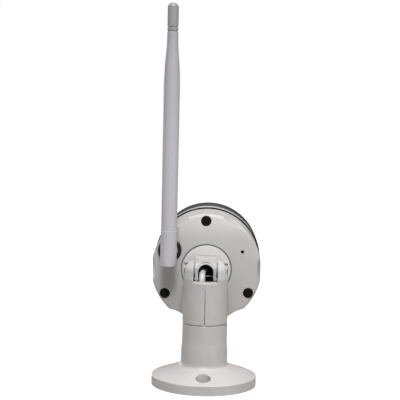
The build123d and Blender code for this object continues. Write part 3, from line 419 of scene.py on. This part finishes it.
NODE_MATERIALS = {
    LIGHT_PAINT: ("base_flange",),
    ARM_PAINT: ("fork_arm",),
    KNUCKLE_PAINT: ("swivel_knuckle",),
    HOUSING_PAINT: ("rear_housing", "front_band"),
    HOOD_PAINT: ("front_hood", "front_bezel"),
    ANTENNA_PLASTIC: ("antenna_elbow", "antenna_base", "antenna_whip"),
    TIP_PLASTIC: ("antenna_tip",),
    BLACK_PLASTIC: (
        "lead_plug", "glass_retainer", "inner_frame", "lens_barrel", "lens_holder", "filter_frame",
    ),
    NYLON: ("pan_friction_ring", "pan_washer", "lead_socket"),
    GREY_NYLON: ("pivot_washers",),
    CHIP_EPOXY: ("image_sensor",),
    BLACK_RUBBER: (
        "flange_gasket", "roll_seal", "housing_plugs", "seam_gasket", "glass_gasket", "light_baffle",
    ),
    RING_RUBBER: ("antenna_ring",),
    WHITE_JACKET: ("lead", "lead_inner"),
    BLACK_JACKET: ("coax_lead",),
    STAINLESS: ("housing_screws", "antenna_pin"),
    DULL_STEEL: ("pivot_screws",),
    ZINC: (
        "roll_retainer", "retainer_screws", "ir_board_screws", "sensor_board_screws", "bracket_screws",
        "board_screws",
    ),
    BLUED: ("lock_screw", "pan_circlip"),
    BRASS: ("filter_coil", "board_standoffs", "antenna_jack", "jack_nut", "antenna_element"),
    BARE_ALUMINIUM: ("board_bracket", "chip_heat_sink"),
    MICROPHONE_FELT: ("microphone",),
    TIN: ("wifi_module", "card_socket"),
    CLEAR_GLASS: ("front_glass",),
    LENS_GLASS: ("lens_glass",),
    FILTER_GLASS: ("filter_glasses",),
    LED_EPOXY: ("ir_leds",),
    CIRCUIT: ("ir_board", "sensor_board", "main_board"),
}


def dress(node, material):
    """Gives a CAD node its material."""
    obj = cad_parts[node]
    obj.data.materials.clear()
    obj.data.materials.append(material)


for material, nodes in NODE_MATERIALS.items():
    for node in nodes:
        dress(node, material)


# ---------------------------------------------------------------- pieces

def piece(name, mesh, material, body):
    """A smooth-shaded piece that rides on a body, unless body is None."""
    obj = bpy.data.objects.new(name, mesh)
    bpy.context.scene.collection.objects.link(obj)
    obj.data.materials.append(material)
    for polygon in obj.data.polygons:
        polygon.use_smooth = True
    if body:
        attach(obj, body)
    return obj


def lead_route():
    """The lead's route from its plug to the head, in millimetres, as the CAD part has it."""
    return (
        (-1.0, 0.0, 17.9),
        (-1.4, -0.9, 33.9),
        (-2.2, -1.3, 53.9),
        (-2.7, -4.0, 66.9),
        (-2.7, -4.0, 77.2),
        (-2.5, 0.7, 81.9),
        (-1.5, 9.0, 81.1),
        (-0.3, 15.0, 80.4),
        (0.0, 27.5, 80.4),
        (0.02, 31.6, 80.42),
    )


def make_lead():
    """The white lead: one smooth tube along a fixed route."""
    curve = bpy.data.curves.new("lead_jacket", "CURVE")
    curve.dimensions = "3D"
    curve.bevel_depth = LEAD_RADIUS * MM
    curve.bevel_resolution = 8
    curve.resolution_u = 10
    curve.use_fill_caps = True
    spline = curve.splines.new("NURBS")
    points = lead_route()
    spline.points.add(len(points) - 1)
    for point, place in zip(spline.points, points):
        point.co = (*(MM * c for c in place), 1.0)
    spline.order_u = 3
    spline.use_endpoint_u = True
    holder = bpy.data.objects.new("lead_curve", curve)
    bpy.context.scene.collection.objects.link(holder)
    bpy.context.view_layer.update()
    mesh = bpy.data.meshes.new_from_object(holder.evaluated_get(bpy.context.evaluated_depsgraph_get()))
    bpy.data.objects.remove(holder)
    mesh.materials.clear()
    jacket = piece("lead_jacket", mesh, WHITE_JACKET, None)
    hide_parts("lead")
    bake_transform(jacket)


def make_passage_ledge():
    """Thin bare edge across the knuckle's passage, behind the lead."""
    mesh = bpy.data.meshes.new("passage_ledge")
    shape = bmesh.new()
    rows = 9
    half = WINDOW_HALF - 0.05
    lower = 77.9
    upper = 78.25
    start = 2.2
    end = 8.8
    rings = []
    for number in range(rows):
        x = -half + 2 * half * number / (rows - 1)
        corners = ((start, lower), (start, upper), (end, upper), (end, lower))
        rings.append([shape.verts.new((x * MM, y * MM, z * MM)) for y, z in corners])
    for first, second in zip(rings, rings[1:]):
        for index in range(4):
            after = (index + 1) % 4
            shape.faces.new((first[index], first[after], second[after], second[index]))
    shape.faces.new(rings[0][::-1])
    shape.faces.new(rings[-1])
    bmesh.ops.recalc_face_normals(shape, faces=shape.faces[:])
    shape.to_mesh(mesh)
    shape.free()
    ledge = piece("passage_ledge", mesh, BARE_EDGE, "knuckle")
    for polygon in ledge.data.polygons:
        polygon.use_smooth = False


def lathe(name, profile, material, body, centre=(0, 0), axis="Z", steps=96):
    """A closed ring: the (radius, height) profile turned about an axis through centre, in millimetres."""
    mesh = bpy.data.meshes.new(name)
    shape = bmesh.new()
    rings = []
    for step in range(steps):
        angle = 2 * math.pi * step / steps
        ring = []
        for radius, height in profile:
            first = centre[0] + radius * math.cos(angle)
            second = centre[1] + radius * math.sin(angle)
            place = (first, second, height) if axis == "Z" else (first, height, second)
            ring.append(shape.verts.new([MM * value for value in place]))
        rings.append(ring)
    for first, second in zip(rings, rings[1:] + rings[:1]):
        for index in range(len(profile)):
            after = (index + 1) % len(profile)
            shape.faces.new((first[index], first[after], second[after], second[index]))
    bmesh.ops.recalc_face_normals(shape, faces=shape.faces[:])
    shape.to_mesh(mesh)
    shape.free()
    return piece(name, mesh, material, body)


def make_antenna_joint():
    """Pale ring between the antenna's lower barrel and its sleeve, whose pale tone is a painted highlight
    along the joint.
    """
    low = JACK_Z + 15.45
    high = JACK_Z + 16.04
    inner = 5.45
    profile = (
        (inner, low),
        (6.02, low),
        (6.08, low + 0.12),
        (6.02, high - 0.08),
        (5.90, high),
        (inner, high),
    )
    axis_place = (JACK_X, FOLD_PIN_Y)
    lathe("antenna_joint_ring", profile, JOINT_PLASTIC, "antenna", axis_place)


def make_glass_border():
    """Black border on the back of the front glass, over the board's edge and its screws."""
    inner = 31.4
    outer = 33.9
    back = 115.88
    front = 115.97
    border = ((inner, back), (outer, back), (outer, front), (inner, front))
    lathe("glass_border", border, BLACK_PLASTIC, "head", (0, HEAD_Z), "Y", 120)


make_lead()
make_passage_ledge()
make_antenna_joint()
make_glass_border()


# ---------------------------------------------------------------- stage

FLOOR_HALF = 6.0
FLOOR_DROP = 0.0003
FLOOR_GLOW = 0.10
FLOOR_GLOW_SEEN = 1.0
AMBIENT_STRENGTH = 0.10


def make_floor():
    """Pale floor just under the flange, which the camera sees as white apart from the shadow."""
    mesh = bpy.data.meshes.new("floor")
    turns = ((-1, -1), (1, -1), (1, 1), (-1, 1))
    corners = [(FLOOR_HALF * x, FLOOR_HALF * y, 0) for x, y in turns]
    mesh.from_pydata(corners, [], [(0, 1, 2, 3)])
    floor = bpy.data.objects.new("floor", mesh)
    bpy.context.scene.collection.objects.link(floor)
    material, tree, shader, _ = empty_material("floor")
    shader.inputs["Base Color"].default_value = (0.45, 0.45, 0.45, 1.0)
    shader.inputs["Roughness"].default_value = 0.9
    shader.inputs["Emission Color"].default_value = (1.0, 1.0, 1.0, 1.0)
    path = tree.nodes.new("ShaderNodeLightPath")
    seen = ranged(tree, path.outputs["Is Camera Ray"], 0, 1, FLOOR_GLOW, FLOOR_GLOW_SEEN)
    tree.links.new(seen, shader.inputs["Emission Strength"])
    mesh.materials.append(material)
    floor.location.z = -FLOOR_DROP


def make_light(name, place, target, size, power):
    """A round area light at place, turned towards target, with its size in metres and power in watts."""
    light = bpy.data.lights.new(name, "AREA")
    light.shape = "DISK"
    light.size = size
    light.energy = power
    lamp = bpy.data.objects.new(name, light)
    bpy.context.scene.collection.objects.link(lamp)
    lamp.location = place
    lamp.rotation_euler = (Vector(target) - Vector(place)).to_track_quat("-Z", "Y").to_euler()


def make_world():
    """Faint even light from all round, with a background that the camera sees as white."""
    world = bpy.data.worlds.new("studio")
    world.use_nodes = True
    bpy.context.scene.world = world
    tree = world.node_tree
    ambient = tree.nodes["Background"]
    ambient.inputs["Color"].default_value = (0.98, 0.98, 1.0, 1.0)
    ambient.inputs["Strength"].default_value = AMBIENT_STRENGTH
    white = tree.nodes.new("ShaderNodeBackground")
    white.inputs["Color"].default_value = (1.0, 1.0, 1.0, 1.0)
    path = tree.nodes.new("ShaderNodeLightPath")
    mix = tree.nodes.new("ShaderNodeMixShader")
    tree.links.new(path.outputs["Is Camera Ray"], mix.inputs["Fac"])
    tree.links.new(ambient.outputs["Background"], mix.inputs[1])
    tree.links.new(white.outputs["Background"], mix.inputs[2])
    tree.links.new(mix.outputs["Shader"], tree.nodes["World Output"].inputs["Surface"])


# The camera's place in metres, its turns in degrees, and its lens in millimetres.
CAMERA_PLACE = (0.00761, -0.720, 0.17964)
CAMERA_YAW = 1.033
CAMERA_PITCH = 3.672
CAMERA_ROLL = 1.228
CAMERA_LENS = 90.21
SENSOR_WIDTH = 36


def make_camera():
    """The camera behind the object, looking along Y and a little down."""
    data = bpy.data.cameras.new("camera")
    data.lens = CAMERA_LENS
    data.sensor_width = SENSOR_WIDTH
    camera = bpy.data.objects.new("camera", data)
    bpy.context.scene.collection.objects.link(camera)
    yaw = Matrix.Rotation(math.radians(CAMERA_YAW), 4, "Z")
    pitch = Matrix.Rotation(math.radians(90 - CAMERA_PITCH), 4, "X")
    roll = Matrix.Rotation(math.radians(CAMERA_ROLL), 4, "Z")
    camera.matrix_world = Matrix.Translation(CAMERA_PLACE) @ yaw @ pitch @ roll
    bpy.context.scene.camera = camera


make_floor()
make_world()
make_light("key", (0.04, -1.50, 1.90), (0, 0.0, 0.05), 0.60, 35.0)
make_light("overhead", (0.12, -0.10, 2.0), (0, 0.0, 0.05), 1.0, 20.0)
make_light("right_fill", (0.9, -0.7, 0.25), (0, 0, 0.05), 0.6, 1.8)
make_light("lens_side", (-0.9, 1.35, 0.20), (0, 0.13, 0.08), 0.6, 6.0)
make_camera()
bpy.context.scene.view_settings.view_transform = "Standard"
